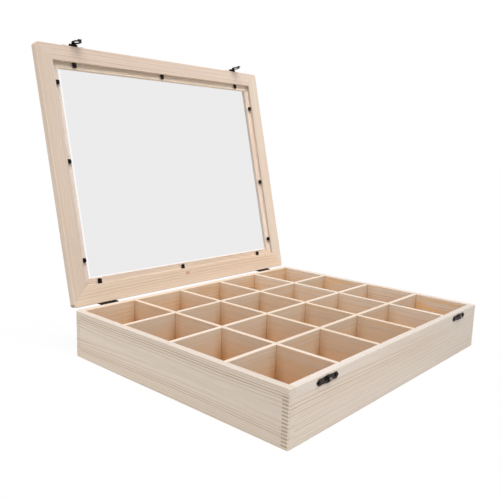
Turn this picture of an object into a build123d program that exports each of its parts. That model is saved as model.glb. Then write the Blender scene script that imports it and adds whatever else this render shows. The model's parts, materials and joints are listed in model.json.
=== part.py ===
from build123d import *
from typing import NamedTuple
import os

# A wooden display case for a rock collection, stored with its glazed lid open.
# Millimetres. The origin is the centre of the case's underside, +X runs to the
# right along the front, +Y to the back and +Z up.

# Case
CASE_WIDTH = 400.0
CASE_DEPTH = 324.0
CASE_HEIGHT = 56.5
WALL = 8.0
CORNER_EASE = 1.2
RIM_EASE = 0.5
BOTTOM_THICKNESS = 3.0
BOTTOM_LAP = 4.0
BOTTOM_CLEARANCE = 0.15

# Comb joints at the four corners
COMB_PITCH = 3.45
COMB_TEETH = 14
COMB_START = 2.3

# Dividers
COLUMNS = 5
ROWS = 4
DIVIDER = 5.0
DIVIDER_DROP = 0.3
DIVIDER_EASE = 0.4
DADO_DEPTH = 2.0
JOINT_CLEARANCE = 0.1

# Lid frame and glass
LID_INSET = 2.0
LID_THICKNESS = 12.0
BAR_WIDTH = 20.0
BACK_RAIL_WIDTH = 24.0
GLASS_LEDGE = 8.0
GLASS_LEDGE_THICKNESS = 6.8
OPENING_ROUND = 3.0
REBATE_EASE = 0.4
LID_CORNER_EASE = 3.5
LID_TOP_EASE = 3.0
LID_FACE_EASE = 0.6
GLASS_THICKNESS = 2.0
GLASS_CLEARANCE = 0.5

# Tabs that hold the glass, driven in by hand, so their spacing is uneven. Their
# places are shares of the way from the lid's middle to its edge.
TAB_WIDTH = 5.6
TAB_REACH = 6.3
TAB_ROOT = 4.0
TAB_THICKNESS = 0.8
TAB_CORNER = 1.2
TABS_FRONT = (-0.743, -0.024, 0.742)
TABS_BACK = (-0.791, -0.089, 0.723)
TABS_LEFT = (-0.711, -0.104, 0.658)
TABS_RIGHT = (-0.640, 0.112, 0.704)

# Hinges on the outside of the back
LID_LEAN = 13.3
HINGE_INSET = 50.0
HINGE_LENGTH = 25.0
HINGE_KNUCKLES = 3
KNUCKLE_GAP = 0.2
LEAF_THICKNESS = 1.2
LEAF_HEIGHT = 9.0
LEAF_CORNER = 1.5
BARREL_RADIUS = 1.9
BARREL_CLEARANCE = 0.8
SWING_CLEARANCE = 0.4
PIN_DROP = 1.0
PIN_RADIUS = 0.8
PIN_END = 0.6
STOP_REACH = 5.0
STOP_THICKNESS = 1.6

# Latches: a hooked catch plate on the case and a hinged loop on the lid
LATCH_INSET = 55.0
LATCH_LENGTH = 34.0
LATCH_HEIGHT = 7.8
LATCH_BAND = 6.4
LATCH_CORNER = 1.0
LATCH_SWELL = 15.0
LATCH_LOBE = 1.8
LATCH_NOTCH = 0.8
LATCH_NOTCH_X = 8.8
LATCH_THICKNESS = 0.8
CATCH_DROP = 6.1
HOOK_WIDTH = 3.6
HOOK_RADIUS = 1.9
HOOK_THICKNESS = 1.0
HOOK_RETURN = 0.8
HASP_RISE = 0.9
HASP_REACH = 9.2
HASP_KNUCKLE = 1.5
HASP_PIN_RADIUS = 0.7
HASP_PIN_END = 0.3
HASP_EAR = 2.1
HASP_GAP = 0.15
HASP_CLEARANCE = 0.3
HASP_LIP = 0.9
LOOP_STEM = 5.4
LOOP_RADIUS = 6.4
LOOP_THICKNESS = 0.8
LOOP_CLEARANCE = 0.3
HOLE_WIDTH = 6.4
HOLE_HEIGHT = 5.6
TAIL_WIDTH = 5.0
TAIL_LENGTH = 2.6
TAIL_LAP = 0.8
TAIL_CURL = 15.0

# Small screws with slotted heads
SCREW_RADIUS = 0.9
SCREW_LENGTH = 5.5
SCREW_HEAD_RADIUS = 1.7
SCREW_HEAD_HEIGHT = 0.8
SCREW_SLOT = 0.5
SCREW_SLOT_DEPTH = 0.35
SCREW_TURN = 50.0
HINGE_SCREW_X = 9.6
HINGE_SCREW_Z = 5.8
LATCH_SCREW_X = 13.2

# Fits
RUNNING_FIT = 0.05
TIGHT_FIT = 0.02

# Positions that follow from the sizes
FRONT = -CASE_DEPTH / 2
BACK = CASE_DEPTH / 2
RIGHT = CASE_WIDTH / 2
HINGE_X = RIGHT - HINGE_INSET
LATCH_X = RIGHT - LATCH_INSET
INSIDE_WIDTH = CASE_WIDTH - 2 * WALL
INSIDE_DEPTH = CASE_DEPTH - 2 * WALL
DIVIDER_TOP = CASE_HEIGHT - DIVIDER_DROP
DIVIDER_MIDDLE = (BOTTOM_THICKNESS + DIVIDER_TOP) / 2

LID_WIDTH = CASE_WIDTH - 2 * LID_INSET
LID_DEPTH = CASE_DEPTH - LID_INSET
LID_FRONT = BACK - LID_DEPTH
LID_TOP = CASE_HEIGHT + LID_THICKNESS
GLASS_TOP = LID_TOP - GLASS_LEDGE_THICKNESS
GLASS_UNDER = GLASS_TOP - GLASS_THICKNESS
LID_MIDDLE = Pos(0, (LID_FRONT + BACK) / 2, 0)

LEAF_FACE = BACK + LEAF_THICKNESS
PIN_Y = BACK + BARREL_CLEARANCE + BARREL_RADIUS
PIN_Z = CASE_HEIGHT - PIN_DROP
PIN_AXIS = Axis((0, PIN_Y, PIN_Z), (1, 0, 0))
LID_OPENING = 90.0 + LID_LEAN

CATCH_FACE = FRONT - LATCH_THICKNESS
CATCH_Z = CASE_HEIGHT - CATCH_DROP
HASP_FACE = LID_FRONT - LATCH_THICKNESS
HASP_Z = CASE_HEIGHT + HASP_RISE + LATCH_HEIGHT / 2
LOOP_BACK = CATCH_FACE - LOOP_CLEARANCE
HASP_PIN_Y = HASP_FACE - HASP_CLEARANCE - HASP_KNUCKLE
HASP_PIN_Z = CATCH_Z + HASP_REACH


def block(x, y, z):
    """Box between two limits on each axis."""
    middle = Pos((x[0] + x[1]) / 2, (y[0] + y[1]) / 2, (z[0] + z[1]) / 2)
    return middle * Box(x[1] - x[0], y[1] - y[0], z[1] - z[0])


def rod(x, y, z, radius):
    """Cylinder along X between two limits."""
    return Pos((x[0] + x[1]) / 2, y, z) * Rot(0, 90, 0) * Cylinder(radius, x[1] - x[0])


def across_plate(face, y, thickness):
    """Plate from a profile drawn in X and Z, its front face at y."""
    return extrude(Plane.XZ.offset(-y) * face, -thickness)


def deep_plate(face, x, thickness):
    """Plate from a profile drawn in Y and Z, its left face at x."""
    return extrude(Plane.YZ.offset(x) * face, thickness)


def open_lid(shape):
    """Swing a piece drawn on the closed lid round to the open lid."""
    return shape.rotate(PIN_AXIS, -LID_OPENING)


# Screws

def screw():
    """Slotted screw along Z, its head seated on Z = 0."""
    foot = (Align.CENTER, Align.CENTER, Align.MIN)
    head = Cylinder(SCREW_HEAD_RADIUS, SCREW_HEAD_HEIGHT, align=foot)
    slot = Box(2 * SCREW_HEAD_RADIUS, SCREW_SLOT, 2 * SCREW_SLOT_DEPTH)
    return head - Pos(0, 0, SCREW_HEAD_HEIGHT) * slot + screw_shank(0)


def screw_shank(clearance):
    """Shank below Z = 0, or with a clearance the hole for it."""
    top = (Align.CENTER, Align.CENTER, Align.MAX)
    return Cylinder(SCREW_RADIUS + clearance, SCREW_LENGTH + clearance, align=top)


def screw_places(pieces_x, spread, y, z, outward):
    """Two screws on each of two plates, heads on a face that looks along outward Y."""
    return [
        Plane(origin=(middle + dx, y, z), x_dir=(1, 0, 0), z_dir=(0, outward, 0))
        for middle in (-pieces_x, pieces_x)
        for dx in (-spread, spread)
    ]


CASE_LEAF_SCREWS = screw_places(HINGE_X, HINGE_SCREW_X, LEAF_FACE, PIN_Z - HINGE_SCREW_Z, 1)
LID_LEAF_SCREWS = screw_places(HINGE_X, HINGE_SCREW_X, LEAF_FACE, PIN_Z + HINGE_SCREW_Z, 1)
CATCH_SCREWS = screw_places(LATCH_X, LATCH_SCREW_X, CATCH_FACE, CATCH_Z, -1)
HASP_SCREWS = screw_places(LATCH_X, LATCH_SCREW_X, HASP_FACE, HASP_Z, -1)


def driven_screws(places):
    """A screw in each place, each stopped at another turn."""
    return [place * Rot(0, 0, i * SCREW_TURN) * screw() for i, place in enumerate(places)]


def case_screws(places):
    return Compound(children=driven_screws(places))


def lid_screws(places):
    return Compound(children=[open_lid(one) for one in driven_screws(places)])


def screw_holes(places):
    return [place * screw_shank(TIGHT_FIT) for place in places]


# Case

def case_envelope():
    """Form of the four walls together, with the sharp edges taken off."""
    x, y = INSIDE_WIDTH / 2, INSIDE_DEPTH / 2
    body = block((-RIGHT, RIGHT), (FRONT, BACK), (0, CASE_HEIGHT))
    body = chamfer(body.edges().filter_by(Axis.Z), CORNER_EASE)
    body -= block((-x, x), (-y, y), (0, CASE_HEIGHT))
    return chamfer(body.faces().sort_by(Axis.Z)[-1].edges(), RIM_EASE)


def comb_teeth(length):
    """Teeth at both ends of a wall, as rectangles on its face."""
    tooth = COMB_PITCH / 2
    reach = (length - WALL) / 2
    return [
        Pos(end, COMB_START + tooth / 2 + i * COMB_PITCH) * Rectangle(WALL, tooth)
        for end in (-reach, reach)
        for i in range(COMB_TEETH)
    ]


def bottom_recess():
    """Rebate round the foot of the walls that the bottom panel fills."""
    x = INSIDE_WIDTH / 2 + BOTTOM_LAP + BOTTOM_CLEARANCE
    y = INSIDE_DEPTH / 2 + BOTTOM_LAP + BOTTOM_CLEARANCE
    return block((-x, x), (-y, y), (0, BOTTOM_THICKNESS))


def divider_lines(inside, cells):
    """Middle of each divider between two walls."""
    pitch = (inside + DIVIDER) / cells
    return [(i - cells / 2) * pitch for i in range(1, cells)]


COLUMN_LINES = divider_lines(INSIDE_WIDTH, COLUMNS)
ROW_LINES = divider_lines(INSIDE_DEPTH, ROWS)


def dados():
    """Housings in the walls for the ends of the dividers, open at the rim."""
    half = (DIVIDER + JOINT_CLEARANCE) / 2
    x = INSIDE_WIDTH / 2 + DADO_DEPTH
    y = INSIDE_DEPTH / 2 + DADO_DEPTH
    z = (BOTTOM_THICKNESS, CASE_HEIGHT + 1)
    across = [block((-x, x), (line - half, line + half), z) for line in ROW_LINES]
    deep = [block((line - half, line + half), (-y, y), z) for line in COLUMN_LINES]
    return across + deep


def toothed_wall(y):
    """Front or back wall, whose teeth run out through the side walls."""
    board = Pos(0, CASE_HEIGHT / 2) * Rectangle(INSIDE_WIDTH, CASE_HEIGHT)
    return across_plate(board + comb_teeth(CASE_WIDTH), y, WALL)


def slotted_wall(x):
    """Side wall, as long as the case, with a gap for each tooth."""
    board = Pos(0, CASE_HEIGHT / 2) * Rectangle(CASE_DEPTH, CASE_HEIGHT)
    return deep_plate(board - comb_teeth(CASE_DEPTH), x, WALL)


def finished_wall(wall, holes=()):
    """Ease a wall's edges and cut its rebate, housings and screw holes."""
    eased = wall & case_envelope()
    return eased - bottom_recess() - dados() - list(holes)


def case_bottom():
    x = INSIDE_WIDTH / 2 + BOTTOM_LAP
    y = INSIDE_DEPTH / 2 + BOTTOM_LAP
    return block((-x, x), (-y, y), (0, BOTTOM_THICKNESS))


def divider_blank(inside):
    """Divider along X before it is notched, its top edges eased."""
    half = inside / 2 + DADO_DEPTH - JOINT_CLEARANCE
    board = block((-half, half), (-DIVIDER / 2, DIVIDER / 2), (BOTTOM_THICKNESS, DIVIDER_TOP))
    top = board.faces().sort_by(Axis.Z)[-1]
    return chamfer(top.edges().filter_by(Axis.X), DIVIDER_EASE)


def divider_notches(crossings, z):
    """Room for the dividers that cross this one."""
    half = (DIVIDER + JOINT_CLEARANCE) / 2
    return [block((line - half, line + half), (-DIVIDER, DIVIDER), z) for line in crossings]


def divider_across(y):
    """Long divider, notched from above."""
    notches = divider_notches(COLUMN_LINES, (DIVIDER_MIDDLE, CASE_HEIGHT))
    return Pos(0, y) * (divider_blank(INSIDE_WIDTH) - notches)


def divider_deep(x):
    """Short divider, notched from below."""
    notches = divider_notches(ROW_LINES, (0, DIVIDER_MIDDLE))
    return Pos(x, 0) * Rot(0, 0, 90) * (divider_blank(INSIDE_DEPTH) - notches)


# Hinges

def knuckle_spans(middle, first):
    """Every second knuckle of a hinge, as limits along X."""
    pitch = HINGE_LENGTH / HINGE_KNUCKLES
    start = middle - HINGE_LENGTH / 2
    return [
        (start + i * pitch + KNUCKLE_GAP / 2, start + (i + 1) * pitch - KNUCKLE_GAP / 2)
        for i in range(first, HINGE_KNUCKLES, 2)
    ]


def leaf_plate(middle, z):
    """Flat of a leaf on the back face, with the corners away from the pin rounded."""
    half = HINGE_LENGTH / 2
    plate = block((middle - half, middle + half), (BACK, LEAF_FACE), z)
    corners = plate.edges().filter_by(Axis.Y)
    far = [edge for edge in corners if abs(edge.center().Z - PIN_Z) > LEAF_HEIGHT - LEAF_CORNER]
    return fillet(far, LEAF_CORNER)


def knuckle_bore(middle, clearance):
    """Hole through every knuckle of one hinge."""
    span = (middle - HINGE_LENGTH, middle + HINGE_LENGTH)
    return rod(span, PIN_Y, PIN_Z, PIN_RADIUS + clearance)


def case_leaf(middle):
    """Leaf below the pin, which holds the pin tight in its outer knuckles."""
    shoulder = PIN_Z - BARREL_RADIUS - SWING_CLEARANCE
    leaf = leaf_plate(middle, (PIN_Z - LEAF_HEIGHT, shoulder))
    for span in knuckle_spans(middle, 0):
        leaf += block(span, (BACK, LEAF_FACE), (shoulder, PIN_Z))
        leaf += rod(span, PIN_Y, PIN_Z, BARREL_RADIUS)
    return leaf - knuckle_bore(middle, TIGHT_FIT) - screw_holes(CASE_LEAF_SCREWS)


def lid_leaf(middle):
    """Leaf above the pin on the closed lid, whose knuckles turn on the pin.

    A knuckle carries a lug. With the lid open the lug bears on the case leaf, and
    the lid leans back on it.
    """
    shoulder = PIN_Z + BARREL_RADIUS + SWING_CLEARANCE
    spans = knuckle_spans(middle, 1)
    leaf = leaf_plate(middle, (shoulder, PIN_Z + LEAF_HEIGHT))
    for span in spans:
        leaf += block(span, (BACK, LEAF_FACE), (CASE_HEIGHT, shoulder))
        leaf += block(span, (BACK + BARREL_CLEARANCE, LEAF_FACE), (PIN_Z, CASE_HEIGHT))
        leaf += rod(span, PIN_Y, PIN_Z, BARREL_RADIUS)
    leaf = open_lid(leaf - screw_holes(LID_LEAF_SCREWS))
    stop_y = (LEAF_FACE, LEAF_FACE + STOP_THICKNESS)
    for span in spans:
        leaf += block(span, stop_y, (PIN_Z - STOP_REACH, PIN_Z))
    return leaf - knuckle_bore(middle, RUNNING_FIT)


def hinge_pin(middle):
    half = HINGE_LENGTH / 2 + PIN_END
    return rod((middle - half, middle + half), PIN_Y, PIN_Z, PIN_RADIUS)


# Latches

def latch_plate(middle, y, z):
    """Pressed plate with a swell in the middle, notches beside it and a lobe at each end."""
    lobe = LATCH_LENGTH / 2 - LATCH_LOBE
    outline = RectangleRounded(2 * lobe, LATCH_BAND, LATCH_CORNER)
    outline += Ellipse(LATCH_SWELL / 2, LATCH_HEIGHT / 2)
    outline += [Pos(side * lobe, 0) * Circle(LATCH_LOBE) for side in (-1, 1)]
    for side in (-1, 1):
        for edge in (-LATCH_BAND / 2, LATCH_BAND / 2):
            outline -= Pos(side * LATCH_NOTCH_X, edge) * Circle(LATCH_NOTCH)
    return across_plate(Pos(middle, z) * outline, y, LATCH_THICKNESS)


def catch(middle):
    """Plate on the case with a hook curled outward and down."""
    curl = Circle(HOOK_RADIUS) - Circle(HOOK_RADIUS - HOOK_THICKNESS)
    curl &= Pos(-HOOK_RADIUS, 0) * Rectangle(2 * HOOK_RADIUS, 2 * HOOK_RADIUS)
    strap = HOOK_RADIUS - HOOK_THICKNESS / 2
    root = Pos(HOOK_RADIUS / 2, strap) * Rectangle(HOOK_RADIUS, HOOK_THICKNESS)
    tip = Pos(HOOK_RETURN / 2, -strap) * Rectangle(HOOK_RETURN, HOOK_THICKNESS)
    profile = Pos(CATCH_FACE - HOOK_RADIUS, CATCH_Z) * (curl + root + tip)
    hook = deep_plate(profile, middle - HOOK_WIDTH / 2, HOOK_WIDTH)
    return latch_plate(middle, CATCH_FACE, CATCH_Z) + hook - screw_holes(CATCH_SCREWS)


def hasp_plate(middle):
    """Plate on the lid's edge with two ears for the pin and a lip that stops the loop."""
    inner = LOOP_STEM / 2 + HASP_GAP
    outer = inner + HASP_EAR
    lip_top = HASP_PIN_Z - HASP_KNUCKLE - HASP_CLEARANCE
    foot, top = lip_top - HASP_LIP, HASP_PIN_Z + HASP_KNUCKLE
    whole = (middle - outer, middle + outer)
    plate = latch_plate(middle, HASP_FACE, HASP_Z)
    for ear in ((middle - outer, middle - inner), (middle + inner, middle + outer)):
        plate += block(ear, (HASP_PIN_Y, HASP_FACE), (foot, top))
        plate += rod(ear, HASP_PIN_Y, HASP_PIN_Z, HASP_KNUCKLE)
    plate += block(whole, (LOOP_BACK, HASP_FACE), (foot, lip_top))
    plate -= rod(whole, HASP_PIN_Y, HASP_PIN_Z, HASP_PIN_RADIUS + TIGHT_FIT)
    return open_lid(plate - screw_holes(HASP_SCREWS))


def hasp_pin(middle):
    half = LOOP_STEM / 2 + HASP_GAP + HASP_EAR + HASP_PIN_END
    span = (middle - half, middle + half)
    return open_lid(rod(span, HASP_PIN_Y, HASP_PIN_Z, HASP_PIN_RADIUS))


def hasp_loop(middle):
    """Hinged loop that drops over the hook, with its tail curled out as a finger pull."""
    ring = Pos(0, -HASP_REACH) * Circle(LOOP_RADIUS)
    stem = Pos(0, -HASP_REACH / 2) * Rectangle(LOOP_STEM, HASP_REACH)
    hole = Pos(0, -HASP_REACH) * Ellipse(HOLE_WIDTH / 2, HOLE_HEIGHT / 2)
    face = Pos(middle, HASP_PIN_Z) * (ring + stem - hole)
    loop = across_plate(face, LOOP_BACK - LOOP_THICKNESS, LOOP_THICKNESS)
    stem_x = (middle - LOOP_STEM / 2, middle + LOOP_STEM / 2)
    loop += rod(stem_x, HASP_PIN_Y, HASP_PIN_Z, HASP_KNUCKLE)
    hanging = (Align.CENTER, Align.CENTER, Align.MAX)
    tail = Box(TAIL_WIDTH, LOOP_THICKNESS, TAIL_LENGTH, align=hanging)
    tail_top = HASP_PIN_Z - HASP_REACH - LOOP_RADIUS + TAIL_LAP
    tail_root = Pos(middle, LOOP_BACK - LOOP_THICKNESS / 2, tail_top)
    loop += tail_root * Rot(-TAIL_CURL, 0, 0) * tail
    loop -= rod(stem_x, HASP_PIN_Y, HASP_PIN_Z, HASP_PIN_RADIUS + RUNNING_FIT)
    return open_lid(loop)


# Lid

def lid_blank():
    """Outer form of the closed lid, rounded most along its top edges."""
    half = LID_WIDTH / 2
    body = block((-half, half), (LID_FRONT, BACK), (CASE_HEIGHT, LID_TOP))
    body = fillet(body.edges().filter_by(Axis.Z), LID_CORNER_EASE)
    body = fillet(body.faces().sort_by(Axis.Z)[-1].edges(), LID_TOP_EASE)
    return chamfer(body.faces().sort_by(Axis.Z)[0].edges(), LID_FACE_EASE)


def glass_rebate(margin, z):
    """Block that fills the rebate for the glass, less a margin all round."""
    x = LID_WIDTH / 2 - BAR_WIDTH - margin
    y = (LID_FRONT + BAR_WIDTH + margin, BACK - BACK_RAIL_WIDTH - margin)
    return block((-x, x), y, z)


def lid_ring():
    """The four bars as one ring, the opening's edges eased before it is mitred."""
    ring = lid_blank() - glass_rebate(GLASS_LEDGE, (CASE_HEIGHT, LID_TOP))
    ring = fillet(ring.faces().sort_by(Axis.Z)[-1].inner_wires().edges(), OPENING_ROUND)
    ring -= glass_rebate(0, (CASE_HEIGHT, GLASS_TOP))
    inner_face, ledge = ring.faces().filter_by(Axis.Z).sort_by(Axis.Z)[:2]
    edges = inner_face.inner_wires().edges() + ledge.inner_wires().edges()
    return chamfer(edges, REBATE_EASE)


class Bar(NamedTuple):
    """One bar of the lid. The sides count from the front round to the right."""
    side: int
    length: float
    rebate: float
    tabs: tuple
    screws: list

    def place(self):
        return LID_MIDDLE * Rot(0, 0, 90 * self.side)


STILE_REBATE = LID_WIDTH / 2 - BAR_WIDTH
BARS = {
    "lid_rail_front": Bar(0, LID_WIDTH, LID_DEPTH / 2 - BAR_WIDTH, TABS_FRONT, HASP_SCREWS),
    "lid_stile_right": Bar(1, LID_DEPTH, STILE_REBATE, TABS_RIGHT, []),
    "lid_rail_back": Bar(2, LID_WIDTH, LID_DEPTH / 2 - BACK_RAIL_WIDTH, TABS_BACK, LID_LEAF_SCREWS),
    "lid_stile_left": Bar(3, LID_DEPTH, STILE_REBATE, TABS_LEFT, []),
}


def corners(shape):
    """Corners of a block seen from above, from the front left round to the right."""
    low, high = shape.bounding_box().min, shape.bounding_box().max
    return [(low.X, low.Y), (high.X, low.Y), (high.X, high.Y), (low.X, high.Y)]


def mitre_wedge(bar):
    """Room of one bar, cut at 45 degrees outward from the opening's corners."""
    height = (CASE_HEIGHT, LID_TOP)
    inner = corners(glass_rebate(GLASS_LEDGE, height))
    outer = corners(glass_rebate(-BACK_RAIL_WIDTH - 1, height))
    start, end = bar.side, (bar.side + 1) % 4
    face = Polygon(outer[start], outer[end], inner[end], inner[start], align=None)
    return extrude(Pos(0, 0, CASE_HEIGHT) * face, LID_THICKNESS)


def tab(offset, rebate):
    """Flat tab driven into the wall of the rebate and lying on the glass."""
    x = (offset - TAB_WIDTH / 2, offset + TAB_WIDTH / 2)
    z = (GLASS_UNDER - TAB_THICKNESS, GLASS_UNDER)
    plate = block(x, (-rebate - TAB_ROOT, -rebate + TAB_REACH), z)
    free_end = plate.edges().filter_by(Axis.Z).group_by(Axis.Y)[-1]
    return chamfer(free_end, TAB_CORNER)


def bar_tabs(bar):
    sign = 1 if bar.side < 2 else -1
    offsets = [sign * share * bar.length / 2 for share in bar.tabs]
    return [bar.place() * tab(offset, bar.rebate) for offset in offsets]


def lid_bar(ring, bar):
    """One mitred bar of the ring, with room for its tabs and screws."""
    piece = ring & mitre_wedge(bar)
    return open_lid(piece - bar_tabs(bar) - screw_holes(bar.screws))


def lid_bars():
    ring = lid_ring()
    return {name: lid_bar(ring, bar) for name, bar in BARS.items()}


def glass_pane():
    return open_lid(glass_rebate(GLASS_CLEARANCE, (GLASS_UNDER, GLASS_TOP)))


def glass_tabs():
    tabs = [tab for bar in BARS.values() for tab in bar_tabs(bar)]
    return Compound(children=[open_lid(tab) for tab in tabs])


def pieces():
    """Every separate piece, by name, with the lid open."""
    made = {
        "case_front": finished_wall(toothed_wall(FRONT), screw_holes(CATCH_SCREWS)),
        "case_back": finished_wall(toothed_wall(BACK - WALL), screw_holes(CASE_LEAF_SCREWS)),
        "case_left": finished_wall(slotted_wall(-RIGHT)),
        "case_right": finished_wall(slotted_wall(RIGHT - WALL)),
        "case_bottom": case_bottom(),
    }
    for i, y in enumerate(ROW_LINES, 1):
        made[f"divider_across_{i}"] = divider_across(y)
    for i, x in enumerate(COLUMN_LINES, 1):
        made[f"divider_deep_{i}"] = divider_deep(x)
    made.update(lid_bars())
    made["glass_pane"] = glass_pane()
    made["glass_tabs"] = glass_tabs()
    for name, side in (("left", -1), ("right", 1)):
        made[f"hinge_case_leaf_{name}"] = case_leaf(side * HINGE_X)
        made[f"hinge_lid_leaf_{name}"] = lid_leaf(side * HINGE_X)
        made[f"hinge_pin_{name}"] = hinge_pin(side * HINGE_X)
        made[f"catch_{name}"] = catch(side * LATCH_X)
        made[f"hasp_plate_{name}"] = hasp_plate(side * LATCH_X)
        made[f"hasp_pin_{name}"] = hasp_pin(side * LATCH_X)
        made[f"hasp_loop_{name}"] = hasp_loop(side * LATCH_X)
    made["hinge_case_screws"] = case_screws(CASE_LEAF_SCREWS)
    made["hinge_lid_screws"] = lid_screws(LID_LEAF_SCREWS)
    made["catch_screws"] = case_screws(CATCH_SCREWS)
    made["hasp_screws"] = lid_screws(HASP_SCREWS)
    return made


os.makedirs("parts", exist_ok=True)
for name, shape in pieces().items():
    export_step(shape, f"parts/{name}.step")
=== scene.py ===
import json
import math
import bpy
from mathutils import Matrix, Vector


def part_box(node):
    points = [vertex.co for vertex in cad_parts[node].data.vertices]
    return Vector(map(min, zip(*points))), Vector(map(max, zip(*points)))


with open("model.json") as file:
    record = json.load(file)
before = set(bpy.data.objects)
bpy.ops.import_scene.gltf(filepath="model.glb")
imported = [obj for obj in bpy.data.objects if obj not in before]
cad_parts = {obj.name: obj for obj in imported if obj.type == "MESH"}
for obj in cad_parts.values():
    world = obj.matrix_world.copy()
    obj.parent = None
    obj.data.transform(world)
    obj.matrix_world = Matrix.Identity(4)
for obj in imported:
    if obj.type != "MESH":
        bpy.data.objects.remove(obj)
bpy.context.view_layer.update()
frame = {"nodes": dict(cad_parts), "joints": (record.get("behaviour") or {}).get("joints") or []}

# Wooden display case with a grid of cells and a glazed lid that leans open.
# Metres, in the frame's axes: +X right along the front, +Y to the back, +Z up.

NODES = frame["nodes"]
LID_JOINT = next(joint for joint in frame["joints"] if joint["name"] == "lid")
LID_OPENING = math.radians(LID_JOINT["range_deg"][1])
CLOSE_LID = Matrix.Rotation(LID_OPENING, 4, "X")

# Camera: before the front left corner, about as high as the middle of the open lid
CAMERA_PLACE = (-0.58110, -0.44880, 0.25915)
CAMERA_RIGHT = (0.66589, -0.74545, 0.02991)
CAMERA_UP = (0.11150, 0.13908, 0.98398)
CAMERA_BACK = (-0.73767, -0.65189, 0.17573)
CAMERA_LENS = 43.193
CAMERA_SENSOR = 36.0

# Light, in shares of what makes a white surface white
SKY_STRENGTH = 0.45
SUN_SHARE = 0.79
SUN_WAY = (-0.20, -0.27, 0.95)
SUN_SIZE = 50.0
FLOOR_SIZE = 14.0
FLOOR_COLOUR = (0.60, 0.60, 0.60)
FLOOR_WHITE = 0.85
WHITE = (1.0, 1.0, 1.0)
WHITE_GLOW = 1.05

# Sizes that the colours follow
CASE_HEIGHT = 0.0565
CELL_FOOT = 0.010
CELL_WIDTH = 0.0778
CELL_DEPTH = 0.07825
DIVIDER = 0.005
LEDGE_BLUR = 0.0004
HOOK_ROOT = -0.1645
HOOK_FRONT = -0.1661
GLASS_SIZE = (0.355, 0.277)
GLASS_SEAT = 0.0088
SEAT_BLUR = 0.001

# Pine
EARLY_WOOD = (0.830, 0.722, 0.612)
LATE_WOOD = (0.560, 0.385, 0.255)
WARM_WOOD = (0.800, 0.620, 0.455)
KNOT_WOOD = (0.560, 0.310, 0.150)
END_GRAIN = (0.485, 0.362, 0.268)
ORANGE_STREAK = (0.820, 0.530, 0.270)
SEAM = (0.210, 0.090, 0.035)
PINE_INDEX = 1.45

# Tones multiply a colour, on the whole board or on a part of it
PLAIN = (1, 1, 1)
# Painted shade on the faces that look up, the rims of the walls and dividers
RIM_SHADE = (0.89, 0.89, 0.92)
DIVIDER_RIM_SHADE = (1.0, 0.97, 0.96)
# Painted shade inside the case: near white at the top, darker and warmer at the foot and beside
# the corners
INSIDE_TOP_SHADE = (0.985, 0.965, 0.945)
INSIDE_FOOT_SHADE = (0.850, 0.640, 0.440)
INSIDE_CORNER_SHADE = (0.760, 0.620, 0.450)

# Scale of the noise in pine: along the grain, across it and through the board
BENDS = (0.35, 1.0, 1.0)
RIPPLES = (28.0, 210.0, 210.0)
BREAKS = (3.0, 30.0, 30.0)
FIBRES = (55.0, 1900.0, 1900.0)
STREAKS = (9.0, 330.0, 330.0)
FLECKS = (170.0, 2600.0, 2600.0)
PATCHES = (3.0, 14.0, 14.0)
WARM_PATCHES = (2.0, 22.0, 22.0)
ORANGE_STREAKS = (14.0, 230.0, 230.0)

# Metal
BRONZE_DARK = (0.019, 0.014, 0.012)
BRONZE_WORN = (0.110, 0.080, 0.060)
# a painted highlight on the hooks
BRONZE_HOOK_HIGHLIGHT = (0.27, 0.23, 0.21)
BRONZE_ROUGHNESS = 0.34
STEEL_DARK = (0.013, 0.011, 0.011)
STEEL_WORN = (0.034, 0.030, 0.028)
STEEL_ROUGHNESS = 0.42
ROUGHNESS_SPREAD = 0.16

# Glass
GREY_GLASS = (0.838, 0.834, 0.840)
CLEAR_GLASS = (0.985, 0.985, 0.985)
GLASS_INDEX = 1.2
SMEAR_ROUGHNESS = 0.035
AIR_GAP = 0.0001


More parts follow.
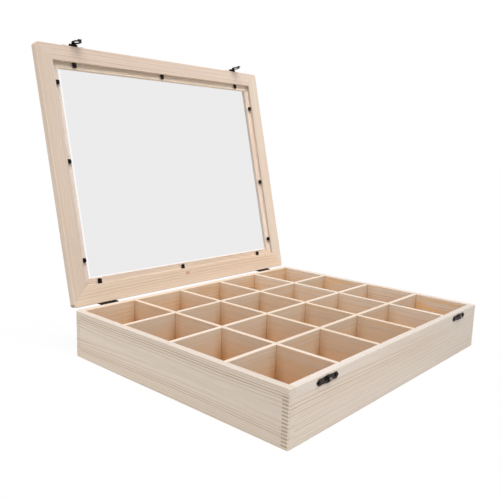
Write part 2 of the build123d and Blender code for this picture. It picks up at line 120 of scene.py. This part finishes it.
class Tree:
    """Builds a node tree, with plain values or other sockets as inputs."""

    def __init__(self, owner):
        owner.use_nodes = True
        self.tree = owner.node_tree
        self.tree.nodes.clear()

    def feed(self, socket, value):
        if isinstance(value, bpy.types.NodeSocket):
            self.tree.links.new(value, socket)
        else:
            socket.default_value = value

    def add(self, kind, inputs=(), **settings):
        node = self.tree.nodes.new("ShaderNode" + kind)
        for name, value in settings.items():
            setattr(node, name, value)
        for name, value in dict(inputs).items():
            self.feed(node.inputs[name], value)
        return node

    def math(self, operation, *values, clamp=False):
        node = self.add("Math", operation=operation, use_clamp=clamp)
        for socket, value in zip(node.inputs, values):
            self.feed(socket, value)
        return node.outputs[0]

    def product(self, *values):
        result = values[0]
        for value in values[1:]:
            result = self.math("MULTIPLY", result, value)
        return result

    def vector(self, operation, *values):
        node = self.add("VectorMath", operation=operation)
        for socket, value in zip(node.inputs, values):
            self.feed(socket, value)
        scalar = operation in ("DOT_PRODUCT", "LENGTH")
        return node.outputs["Value" if scalar else "Vector"]

    def combine(self, x, y, z):
        return self.add("CombineXYZ", {0: x, 1: y, 2: z}).outputs[0]

    def separate(self, vector):
        return self.add("SeparateXYZ", {0: vector}).outputs[:]

    def noise(self, vector, scale, detail=0.0):
        inputs = {"Vector": vector, "Scale": scale, "Detail": detail}
        return self.add("TexNoise", inputs).outputs[0]

    def signed_noise(self, vector, scale, reach, detail=0.0):
        """Noise between about -reach and reach."""
        middle = self.math("SUBTRACT", self.noise(vector, scale, detail), 0.5)
        return self.math("MULTIPLY", middle, 2 * reach)

    def stretched_noise(self, vector, scales, detail=0.0):
        """Noise with a scale of its own along each axis."""
        return self.noise(self.vector("MULTIPLY", vector, scales), 1.0, detail)

    def ease(self, value, low, high, start=0.0, end=1.0):
        """Smooth passage from start to end while value goes from low to high."""
        inputs = {"Value": value, 1: low, 2: high, 3: start, 4: end}
        node = self.add("MapRange", inputs, interpolation_type="SMOOTHSTEP")
        return node.outputs[0]

    def mix(self, factor, first, second, blend="MIX"):
        node = self.add("Mix", data_type="RGBA", blend_type=blend)
        for socket, value in zip((0, 6, 7), (factor, first, second)):
            self.feed(node.inputs[socket], value)
        return node.outputs[2]

    def tint(self, share, colour, tone):
        """Colour times a tone, where and as far as share says."""
        return self.mix(share, colour, tone, "MULTIPLY")

    def mix_shaders(self, factor, first, second):
        node = self.add("MixShader")
        for socket, value in zip(node.inputs, (factor, first, second)):
            self.feed(socket, value)
        return node.outputs[0]

    def end_with(self, shader, output="OutputMaterial"):
        self.feed(self.add(output).inputs["Surface"], shader)


def surface(name):
    material = bpy.data.materials.new(name)
    return material, Tree(material)


def opaque(colour):
    return (*colour, 1.0)


def tinted(colour, tone):
    return opaque(c * k for c, k in zip(colour, tone))


# Boards: each has its own axes, U along the grain, V across it and W through it

ALONG_X = Matrix(((1, 0, 0), (0, 0, 1), (0, -1, 0))).to_4x4()
ALONG_Y = Matrix(((0, 1, 0), (0, 0, 1), (1, 0, 0))).to_4x4()
FLAT_X = Matrix.Identity(4)
FLAT_Y = Matrix(((0, 1, 0), (-1, 0, 0), (0, 0, 1))).to_4x4()


def board_axes(node, turn, on_lid):
    """Turn and shift from the frame to the board's own axes, about its middle."""
    low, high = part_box(node)
    if on_lid:
        turn = turn @ CLOSE_LID
    return turn @ Matrix.Translation(-(low + high) / 2)


def place_on_board(t, axes):
    """Each point's place in the board's own axes."""
    return t.add("Mapping", {
        "Vector": t.add("TexCoord").outputs["Object"],
        "Location": axes.to_translation(),
        "Rotation": axes.to_euler(),
    }).outputs[0]


# Pine

def knot_shapes(t, u, v, here, ring, knots):
    """For each knot, the rings added where it bulges them and its share of a point."""
    for u_knot, v_knot, size in knots:
        du = t.math("MULTIPLY", t.math("SUBTRACT", u, u_knot), 0.62)
        away = t.vector("LENGTH", t.combine(du, t.math("SUBTRACT", v, v_knot), 0.0))
        away = t.math("ADD", away, t.signed_noise(here, 240.0, size * 0.35, 1.0))
        bulge = t.ease(away, 0.0, size * 4.5, size * 1.6 / ring, 0.0)
        yield bulge, t.ease(away, size * 0.3, size * 1.3, 1.0, 0.0)


def grain_rings(t, u, v, w, here, pith, ring, seed, thin, wander, knots):
    """Share of late wood at a point, and of knot, in a board with its heart at pith."""
    bent = t.vector("MULTIPLY", here, BENDS)
    v_bent = t.math("ADD", v, t.signed_noise(bent, 9.0, wander))
    w_bent = t.math("ADD", w, t.signed_noise(bent, 13.0, wander))
    dv = t.math("SUBTRACT", v_bent, pith[0])
    dw = t.math("SUBTRACT", w_bent, pith[1])
    radius = t.vector("LENGTH", t.combine(0.0, dv, dw))

    # rings from the heart to here, some wider than others
    count = t.math("DIVIDE", radius, ring)
    uneven = t.combine(radius, seed, 0.0)
    count = t.math("ADD", count, t.signed_noise(uneven, 0.16 / ring, 1.1))
    ripple = t.vector("MULTIPLY", here, RIPPLES)
    count = t.math("ADD", count, t.signed_noise(ripple, 1.0, 0.16, 2.0))
    core = 0.0
    for bulge, spot in knot_shapes(t, u, v, here, ring, knots):
        count = t.math("ADD", count, bulge)
        core = t.math("MAXIMUM", core, spot)

    # each ring darkens slowly, ends sharply and has its own strength
    phase = t.math("FRACT", count)
    number = t.combine(t.math("MULTIPLY", t.math("FLOOR", count), 0.731), seed, 3.7)
    # where the face runs along a ring, the line fades out
    slant = t.math("DIVIDE", t.math("ABSOLUTE", dv), radius)
    late = t.product(
        t.ease(phase, thin, 0.90),
        t.ease(phase, 0.94, 1.0, 1.0, 0.0),
        t.ease(t.noise(number, 1.0), 0.3, 0.7, 0.25, 1.0),
        t.ease(t.stretched_noise(here, BREAKS, 1.0), 0.25, 0.7, 0.45, 1.0),
        t.ease(slant, 0.12, 0.62, 0.12, 1.0),
    )
    return late, core


def wood_colour(t, here, late, fibre, lines, tone):
    """Colour of clear wood, before any part of the board is tinted."""
    streak = t.stretched_noise(here, STREAKS, 2.0)
    fleck = t.ease(t.stretched_noise(here, FLECKS), 0.70, 0.80)
    patch = t.stretched_noise(here, PATCHES, 1.0)
    warm = t.ease(t.stretched_noise(here, WARM_PATCHES), 0.45, 0.8, 0.0, 0.5)

    late_wood = tinted(LATE_WOOD, tone)
    colour = t.mix(warm, tinted(EARLY_WOOD, tone), tinted(WARM_WOOD, tone))
    line = t.math("MULTIPLY", late, 0.62 * lines, clamp=True)
    colour = t.mix(line, colour, late_wood)
    shade = t.product(
        t.ease(fibre, 0.2, 0.8, 0.955, 1.035),
        t.ease(streak, 0.25, 0.75, 0.965, 1.03),
        t.ease(patch, 0.25, 0.75, 0.97, 1.02),
    )
    colour = t.tint(1.0, colour, t.combine(shade, shade, shade))
    return t.mix(t.math("MULTIPLY", fleck, 0.22), colour, late_wood)


def inside_colour(t, colour, here, z, u, cells, streaks):
    """Inside colour, warmer, with painted shade deepest at the foot and where boards meet."""
    # painted shade, darker and warmer from the top down to the foot
    deep = t.add("MapRange", {"Value": z, 1: CASE_HEIGHT, 2: CELL_FOOT}).outputs[0]
    colour = t.tint(1.0, colour, t.mix(deep, opaque(INSIDE_TOP_SHADE), opaque(INSIDE_FOOT_SHADE)))
    streak = t.ease(t.stretched_noise(here, ORANGE_STREAKS, 2.0), 0.50, 0.66, 0.0, streaks)
    colour = t.mix(streak, colour, opaque(ORANGE_STREAK))
    if cells is None:
        return colour
    pitch, offset = cells
    # painted shade beside each corner where boards meet, deeper towards the foot
    fold = t.math("PINGPONG", t.math("ADD", u, offset), pitch / 2)
    beside = t.math("ABSOLUTE", t.math("SUBTRACT", fold, DIVIDER / 2))
    corner_shade = t.ease(beside, 0.0005, 0.0150, 1.0, 0.0)
    corner_shade = t.math("MULTIPLY", corner_shade, t.ease(deep, 0.0, 1.0, 0.2, 1.0))
    colour = t.tint(corner_shade, colour, opaque(INSIDE_CORNER_SHADE))
    # a dark seam line at each joint
    line = t.ease(beside, 0.0003, 0.0012, 0.28, 0.0)
    return t.mix(line, colour, opaque(SEAM))


def pine(node, axes, pith, ring, seed, lines=1.0, thin=0.42, wander=0.003, knots=(),
         tone=PLAIN, fade=(1.0, 1.0), rim=PLAIN, end_tone=1.0, end_wood=END_GRAIN,
         inside=None, inner_tone=PLAIN, both_sides=False, cells=None, streaks=0.32,
         ledge=None, edge=None):
    """Pine board cut from a log whose heart lies at pith, with its own rings.

    ring is the width of a ring. lines, thin and wander say how strong, how narrow and
    how wavy its late wood is, and knots gives U, V and size of each knot. tone tints
    the board and fade shades it from one end to the other. The rest is for parts of
    it: the rim, which gets painted shade, the end grain, the faces that look the way
    of inside, which get painted shade, the ledge for the glass, which gets painted
    light and shade, and the faces that look the way of edge, which get painted light.
    """
    material, t = surface("pine_" + node)
    coordinates = t.add("TexCoord").outputs
    normal = coordinates["Normal"]
    z = t.separate(coordinates["Object"])[2]
    place = place_on_board(t, axes)
    u, v, w = t.separate(place)
    here = t.vector("ADD", place, (seed * 1.7, seed * 0.9, seed * 2.3))
    late, core = grain_rings(t, u, v, w, here, pith, ring, seed, thin, wander, knots)

    # the lines are fainter on the rim and on the ledge
    on_rim = t.ease(t.separate(normal)[2], 0.5, 0.9)
    if rim != PLAIN:
        late = t.math("MULTIPLY", late, t.ease(on_rim, 0.0, 1.0, 1.0, 0.3))
    if ledge is not None:
        side, start, ledge_light = ledge
        on_ledge = t.ease(t.math("MULTIPLY", v, side), start - LEDGE_BLUR, start)
        late = t.math("MULTIPLY", late, t.ease(on_ledge, 0.0, 1.0, 1.0, 0.2))

    fibre = t.stretched_noise(here, FIBRES, 2.0)
    colour = wood_colour(t, here, late, fibre, lines, tone)
    if knots:
        colour = t.mix(t.math("MULTIPLY", core, 0.75), colour, tinted(KNOT_WOOD, tone))
    half_length = (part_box(node)[1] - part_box(node)[0]).length / 2
    along = t.ease(u, -half_length, half_length, *fade)
    colour = t.tint(1.0, colour, t.combine(along, along, along))

    # parts of another tone: painted light and shade on the ledge, the edge faces and the rim
    if ledge is not None:
        # painted light and shade on the ledge behind the glass
        colour = t.tint(on_ledge, colour, opaque(ledge_light))
    if edge is not None:
        # painted light on the faces that look the way of edge
        way, side_light_tone = edge
        on_lit_side = t.ease(t.vector("DOT_PRODUCT", normal, way), 0.3, 0.8)
        colour = t.tint(on_lit_side, colour, opaque(side_light_tone))
    if rim != PLAIN:
        # painted shade on the rim
        colour = t.tint(on_rim, colour, opaque(rim))
    if inside is not None:
        facing = t.vector("DOT_PRODUCT", normal, inside)
        if both_sides:
            facing = t.math("ABSOLUTE", facing)
        inner = inside_colour(t, colour, here, z, u, cells, streaks)
        # the inner tone sets how light the painted inside shade is on this board
        inner = t.tint(1.0, inner, opaque(inner_tone))
        colour = t.mix(t.ease(facing, 0.6, 0.9), colour, inner)
    facing = t.vector("DOT_PRODUCT", normal, Vector(axes.to_3x3()[0]))
    on_end = t.ease(t.math("ABSOLUTE", facing), 0.55, 0.9, 0.0, end_tone)
    end_lines = t.math("MULTIPLY", late, 0.35)
    end_colour = t.mix(end_lines, tinted(end_wood, tone), tinted(LATE_WOOD, tone))
    colour = t.mix(on_end, colour, end_colour)

    height = t.math("ADD", t.math("MULTIPLY", late, 0.5), t.math("MULTIPLY", fibre, 0.8))
    bump = t.add("Bump", {"Strength": 0.35, "Distance": 0.00018, "Height": height})
    t.end_with(t.add("BsdfPrincipled", {
        "Base Color": colour,
        "Roughness": t.ease(late, 0.0, 1.0, 0.66, 0.52),
        "IOR": PINE_INDEX,
        "Normal": bump.outputs[0],
    }).outputs[0])
    return material


# Metal and glass

def metal(name, dark, worn, rough, hook_highlight=None):
    """Dark plated steel, worn a little lighter in patches.

    A lighter colour on the hooks is a painted highlight.
    """
    material, t = surface(name)
    place = t.add("TexCoord").outputs["Object"]
    patch = t.noise(place, 420.0, 3.0)
    grit = t.noise(place, 2600.0, 2.0)
    colour = t.mix(t.ease(patch, 0.48, 0.70), opaque(dark), opaque(worn))
    if hook_highlight is not None:
        # painted highlight on the hook
        on_hook = t.ease(t.separate(place)[1], HOOK_FRONT, HOOK_ROOT, 0.9, 0.0)
        colour = t.mix(on_hook, colour, opaque(hook_highlight))
    bump = t.add("Bump", {"Strength": 0.3, "Distance": 0.0001, "Height": grit})
    t.end_with(t.add("BsdfPrincipled", {
        "Base Color": colour,
        "Metallic": 1.0,
        "Roughness": t.ease(patch, 0.3, 0.7, rough, rough + ROUGHNESS_SPREAD),
        "Normal": bump.outputs[0],
    }).outputs[0])
    return material


def clear_glass(node):
    """Clear pane that lets the light through instead of casting a shadow.

    It is faintly grey over the opening and clear where the lid's bars back it.
    """
    material, t = surface("pane_glass")
    x, y, _ = t.separate(place_on_board(t, board_axes(node, FLAT_X, True)))
    beyond = [
        t.math("SUBTRACT", t.math("ABSOLUTE", value), size / 2 - GLASS_SEAT)
        for value, size in zip((x, y), GLASS_SIZE)
    ]
    on_seat = t.ease(t.math("MAXIMUM", *beyond), -SEAT_BLUR, SEAT_BLUR)
    smear = t.noise(t.add("TexCoord").outputs["Object"], 14.0, 3.0)
    pane = t.add("BsdfPrincipled", {
        "Base Color": t.mix(on_seat, opaque(GREY_GLASS), opaque(CLEAR_GLASS)),
        "Roughness": t.ease(smear, 0.4, 0.7, 0.0, SMEAR_ROUGHNESS),
        "IOR": GLASS_INDEX,
        "Transmission Weight": 1.0,
    })
    clear = t.add("BsdfTransparent")
    shadow = t.add("LightPath").outputs["Is Shadow Ray"]
    t.end_with(t.mix_shaders(shadow, pane.outputs[0], clear.outputs[0]))
    return material


def dress(node, material):
    slots = NODES[node].data.materials
    slots.clear()
    slots.append(material)


def board(node, turn, pith, ring, seed, **finish):
    axes = board_axes(node, turn, node.startswith("lid"))
    dress(node, pine(node, axes, pith, ring, seed, **finish))


# The walls

COLUMN_SEAMS = (CELL_WIDTH, CELL_WIDTH / 2)
ROW_SEAMS = (CELL_DEPTH, 0.0)

# inner tones set how light the painted inside shade is on each board
board("case_left", ALONG_Y, (0.0025, -0.030), 0.0017, 1.0, lines=2.6,
      fade=(0.96, 1.04), rim=RIM_SHADE, end_wood=EARLY_WOOD,
      inside=(1, 0, 0), cells=ROW_SEAMS)
board("case_right", ALONG_Y, (-0.05, 0.03), 0.0030, 2.0,
      rim=RIM_SHADE, end_tone=0.2,
      inside=(-1, 0, 0), cells=ROW_SEAMS, inner_tone=(1.12, 1.20, 1.28), streaks=1.0)
board("case_front", ALONG_X, (0.024, -0.015), 0.0020, 3.0, lines=1.7, thin=0.56,
      tone=(1.01, 1.03, 1.06), fade=(1.04, 0.895), rim=RIM_SHADE,
      inside=(0, 1, 0), cells=COLUMN_SEAMS)
board("case_back", ALONG_X, (0.04, -0.03), 0.0027, 4.0, lines=0.9,
      tone=(1.05, 1.05, 1.03), rim=RIM_SHADE, end_tone=0.3,
      inside=(0, -1, 0), cells=COLUMN_SEAMS, inner_tone=(1.03, 1.06, 1.08), streaks=0.6)

# The dividers and the bottom

for i in range(1, 4):
    board(f"divider_across_{i}", ALONG_X, (0.02 * i - 0.05, -0.03 - 0.01 * i), 0.0034,
          4.0 + i, lines=0.45, wander=0.006, rim=DIVIDER_RIM_SHADE,
          inside=(0, 1, 0), both_sides=True, cells=COLUMN_SEAMS,
          inner_tone=(1.00, 1.04, 1.06))

# inner tones set how light the painted inside shade is, lighter and cooler towards the right
DEEP_SHADE_TONES = [(0.98, 0.96, 0.93), (1.02, 1.03, 1.03), (1.05, 1.10, 1.13), (1.13, 1.21, 1.28)]
for i, inner_tone in enumerate(DEEP_SHADE_TONES, 1):
    board(f"divider_deep_{i}", ALONG_Y, (0.03 - 0.02 * i, 0.02 + 0.012 * i), 0.0036,
          7.0 + i, lines=0.45, wander=0.006, fade=(0.97, 1.03), rim=DIVIDER_RIM_SHADE,
          inside=(1, 0, 0), both_sides=True, cells=ROW_SEAMS, inner_tone=inner_tone)

board("case_bottom", FLAT_X, (0.0, -0.09), 0.0030, 12.0, lines=1.1, wander=0.012,
      inside=(0, 0, 1))

# The lid's bars

# ledge tones are painted light and shade: lighter on the front rail's ledge, which its rail
# shades, darker on the bright ledges of the back rail and the right stile
board("lid_rail_front", FLAT_X, (0.05, -0.02), 0.0030, 13.0, lines=1.05, thin=0.5,
      tone=(1.01, 0.94, 0.92), fade=(0.97, 1.09), ledge=(1, 0.006, (1.19, 1.20, 1.13)))
board("lid_rail_back", FLAT_X, (0.04, -0.03), 0.0032, 14.0, lines=1.1, thin=0.5,
      wander=0.005, knots=[(-0.013, -0.0015, 0.0030)],
      tone=(1.06, 1.0, 0.94), fade=(0.99, 1.07), ledge=(-1, 0.008, (0.75, 0.73, 0.72)))
# the left stile's faces that look left are lightened as painted light
board("lid_stile_left", FLAT_Y, (0.07, 0.02), 0.0036, 15.0, lines=0.6, thin=0.45,
      tone=(0.935, 0.900, 0.890), ledge=(-1, 0.006, (1.0, 1.02, 1.06)),
      edge=((-1, 0, 0), (1.08, 1.07, 1.06)))
# the right stile's light tone is partly painted light
board("lid_stile_right", FLAT_Y, (-0.06, 0.03), 0.0034, 16.0, lines=0.7, thin=0.5,
      tone=(1.13, 1.12, 1.13), ledge=(1, 0.006, (0.87, 0.84, 0.83)))

# The fittings and the pane

bronze = metal("antique_bronze", BRONZE_DARK, BRONZE_WORN, BRONZE_ROUGHNESS, BRONZE_HOOK_HIGHLIGHT)
for name in NODES:
    if name.startswith(("hinge", "catch", "hasp")):
        dress(name, bronze)
dress("glass_tabs", metal("black_steel", STEEL_DARK, STEEL_WORN, STEEL_ROUGHNESS))
dress("glass_pane", clear_glass("glass_pane"))
air = NODES["glass_pane"].modifiers.new("air round the glass", "DISPLACE")
air.strength = -AIR_GAP
air.mid_level = 0.0


# Floor, light and camera

def seen_directly(t):
    """1 for rays that carry the picture: from the camera, off metal or through glass."""
    path = t.add("LightPath").outputs
    seen = t.math("MAXIMUM", path["Is Camera Ray"], path["Is Glossy Ray"])
    seen = t.math("MAXIMUM", seen, path["Is Transmission Ray"])
    return t.math("MULTIPLY", seen, t.math("LESS_THAN", path["Diffuse Depth"], 0.5))


def make_floor():
    bpy.ops.mesh.primitive_plane_add(size=FLOOR_SIZE)
    floor = bpy.context.object
    floor.name = "floor"
    material, t = surface("floor")
    diffuse = t.add("BsdfDiffuse", {"Color": opaque(FLOOR_COLOUR)})
    white = t.add("Emission", {"Color": opaque(WHITE), "Strength": WHITE_GLOW})
    shown = t.math("MULTIPLY", seen_directly(t), FLOOR_WHITE)
    t.end_with(t.mix_shaders(shown, diffuse.outputs[0], white.outputs[0]))
    floor.data.materials.append(material)


def make_sky():
    world = bpy.data.worlds.new("studio")
    bpy.context.scene.world = world
    t = Tree(world)
    strength = t.ease(seen_directly(t), 0.0, 1.0, SKY_STRENGTH, 1.0)
    background = t.add("Background", {"Color": opaque(WHITE), "Strength": strength})
    t.end_with(background.outputs[0], "OutputWorld")


def make_sun():
    lamp = bpy.data.lights.new("sun", "SUN")
    lamp.energy = math.pi * SUN_SHARE
    lamp.angle = math.radians(SUN_SIZE)
    sun = bpy.data.objects.new("sun", lamp)
    sun.rotation_euler = Vector(SUN_WAY).to_track_quat("Z", "Y").to_euler()
    bpy.context.scene.collection.objects.link(sun)


def make_camera():
    data = bpy.data.cameras.new("camera")
    data.lens = CAMERA_LENS
    data.sensor_width = CAMERA_SENSOR
    camera = bpy.data.objects.new("camera", data)
    turn = Matrix((CAMERA_RIGHT, CAMERA_UP, CAMERA_BACK)).transposed().to_4x4()
    camera.matrix_world = Matrix.Translation(CAMERA_PLACE) @ turn
    bpy.context.scene.collection.objects.link(camera)
    bpy.context.scene.camera = camera


make_floor()
make_sky()
make_sun()
make_camera()
bpy.context.scene.view_settings.view_transform = "Standard"
